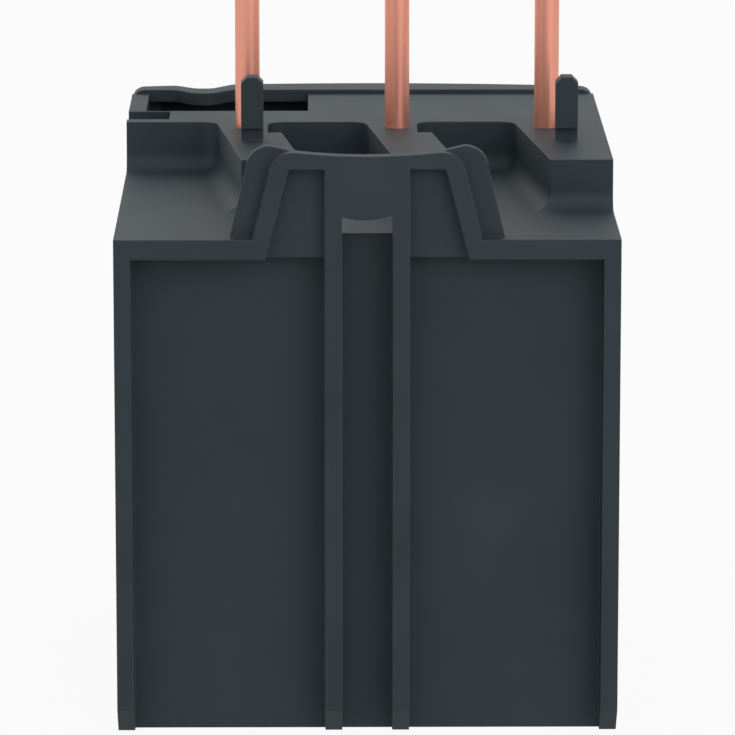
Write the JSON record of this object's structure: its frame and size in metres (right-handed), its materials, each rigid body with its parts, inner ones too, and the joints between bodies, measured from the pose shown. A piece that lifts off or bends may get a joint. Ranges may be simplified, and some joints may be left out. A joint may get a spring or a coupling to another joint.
{
  "type": "thermal overload relay",
  "caption": "Plug-in thermal overload relay in a dark moulded case with copper pins on top, hooks, dial, push buttons, clear flap and screw terminals.",
  "frame": {"origin": "centre of the body's footprint at its lowest face", "axes": "+Z towards the plug pins' tips, -Y towards the operator's side with dial and buttons, +Y towards the rear face that the picture shows, +X to the operator's right"},
  "size_m": [0.045, 0.07, 0.0663],
  "materials": {
    "housing_plastic": "fine spark-eroded moulded polyamide",
    "inner_plastic": "natural moulded polyamide",
    "clear_plastic": "clear polycarbonate",
    "dial_plastic": "moulded acetal",
    "blue_plastic": "moulded acetal",
    "red_plastic": "moulded acetal",
    "flag_plastic": "moulded acetal",
    "pin_copper": "drawn copper",
    "bar_copper": "stamped copper",
    "brass": "stamped brass",
    "contact_bronze": "spring bronze with silver contact",
    "bimetal": "rolled bimetal",
    "heater": "resistance ribbon over insulation",
    "steel": "zinc plated",
    "screw_steel": "zinc plated",
    "spring_steel": "drawn wire"
  },
  "bodies": {
    "case": {"adjuster_pin": "steel", "aux_clamps": "steel", "aux_screws": "screw_steel", "bimetal_strip_1": "bimetal", "bimetal_strip_2": "bimetal", "bimetal_strip_3": "bimetal", "chassis": "inner_plastic", "front_cover": "housing_plastic", "heater_1": "heater", "heater_2": "heater", "heater_3": "heater", "housing": "housing_plastic", "nc_arm_strip": "brass", "nc_fixed_strip": "brass", "no_arm_strip": "brass", "no_fixed_strip": "brass", "plug_pin_1": "pin_copper", "plug_pin_2": "pin_copper", "plug_pin_3": "pin_copper", "pocket_liner": "housing_plastic", "power_clamp_1": "steel", "power_clamp_2": "steel", "power_clamp_3": "steel", "power_screws": "screw_steel", "reset_spring": "spring_steel", "stop_spring": "spring_steel", "strip_carrier": "inner_plastic", "terminal_bar_1": "bar_copper", "terminal_bar_2": "bar_copper", "terminal_bar_3": "bar_copper", "terminal_floor": "housing_plastic", "trip_lever_pin": "steel"},
    "dial": {"setting_dial": "dial_plastic", "dial_cam": "inner_plastic"},
    "adjuster": {"adjusting_lever": "steel", "compensating_strip": "bimetal"},
    "reset": {"reset_button": "blue_plastic"},
    "stop": {"stop_button": "red_plastic"},
    "selector": {"mode_selector": "blue_plastic"},
    "indicator": {"trip_indicator": "flag_plastic"},
    "trip": {"trip_lever": "inner_plastic"},
    "nc_arm": {"nc_contact_arm": "contact_bronze"},
    "no_arm": {"no_contact_arm": "contact_bronze"},
    "slide_main": {"main_slide": "inner_plastic"},
    "slide_differential": {"differential_slide": "inner_plastic"},
    "lever_differential": {"differential_lever": "inner_plastic"},
    "flap": {"clear_flap": "clear_plastic"}
  },
  "joints": [
    {"name": "flap_hinge", "type": "hinge", "parent": "case", "child": "flap", "pos_m": [0, -0.0322, 0.0282], "axis": [1, 0, 0], "range_deg": [0, 120]},
    {"name": "dial_turn", "type": "hinge", "parent": "case", "child": "dial", "pos_m": [-0.011, -0.029, 0.0372], "axis": [0, 1, 0], "range_deg": [-120, 120]},
    {"name": "adjuster_turn", "type": "hinge", "parent": "case", "child": "adjuster", "pos_m": [0.004, -0.016, 0.03], "axis": [0, 1, 0], "range_deg": [-4.2, 4.2]},
    {"name": "reset_press", "type": "slide", "parent": "case", "child": "reset", "axis": [0, 1, 0], "range_m": [0, 0.0018], "stiffness_N_per_m": 800, "deforming": ["reset_spring"]},
    {"name": "stop_press", "type": "slide", "parent": "case", "child": "stop", "axis": [0, 1, 0], "range_m": [0, 0.0018], "stiffness_N_per_m": 800, "deforming": ["stop_spring"]},
    {"name": "selector_turn", "type": "hinge", "parent": "case", "child": "selector", "pos_m": [0.0034, -0.029, 0.035], "axis": [0, 1, 0], "range_deg": [0, 90]},
    {"name": "trip_turn", "type": "hinge", "parent": "case", "child": "trip", "pos_m": [0, -0.022, 0.04], "axis": [0, -1, 0], "range_deg": [0, 14.5]},
    {"name": "indicator_shift", "type": "slide", "parent": "case", "child": "indicator", "axis": [-1, 0, 0], "range_m": [0, 0.000913]},
    {"name": "nc_arm_bend", "type": "hinge", "parent": "case", "child": "nc_arm", "pos_m": [-0.00315, -0.022, 0.026], "axis": [0, -1, 0], "range_deg": [-7.11, 0]},
    {"name": "no_arm_bend", "type": "hinge", "parent": "case", "child": "no_arm", "pos_m": [0.00335, -0.022, 0.026], "axis": [0, -1, 0], "range_deg": [-7.11, 0]},
    {"name": "main_slide_shift", "type": "slide", "parent": "case", "child": "slide_main", "axis": [1, 0, 0], "range_m": [0, 0.0012]},
    {"name": "differential_lag", "type": "slide", "parent": "slide_main", "child": "slide_differential", "axis": [1, 0, 0], "range_m": [-0.0006, 0]},
    {"name": "differential_turn", "type": "hinge", "parent": "slide_main", "child": "lever_differential", "pos_m": [0.0015, 0.006, 0.04], "axis": [0, 0, 1], "range_deg": [0, 7.7]}
  ],
  "couplings": [
    {"joint": "adjuster_turn", "follows": "dial_turn", "ratio": 0.033333},
    {"joint": "indicator_shift", "follows": "trip_turn", "m_per_rad": 0.0036},
    {"joint": "nc_arm_bend", "follows": "trip_turn", "ratio": -0.48936},
    {"joint": "no_arm_bend", "follows": "trip_turn", "ratio": -0.48936},
    {"joint": "differential_turn", "follows": "differential_lag", "rad_per_m": -222.22}
  ]
}
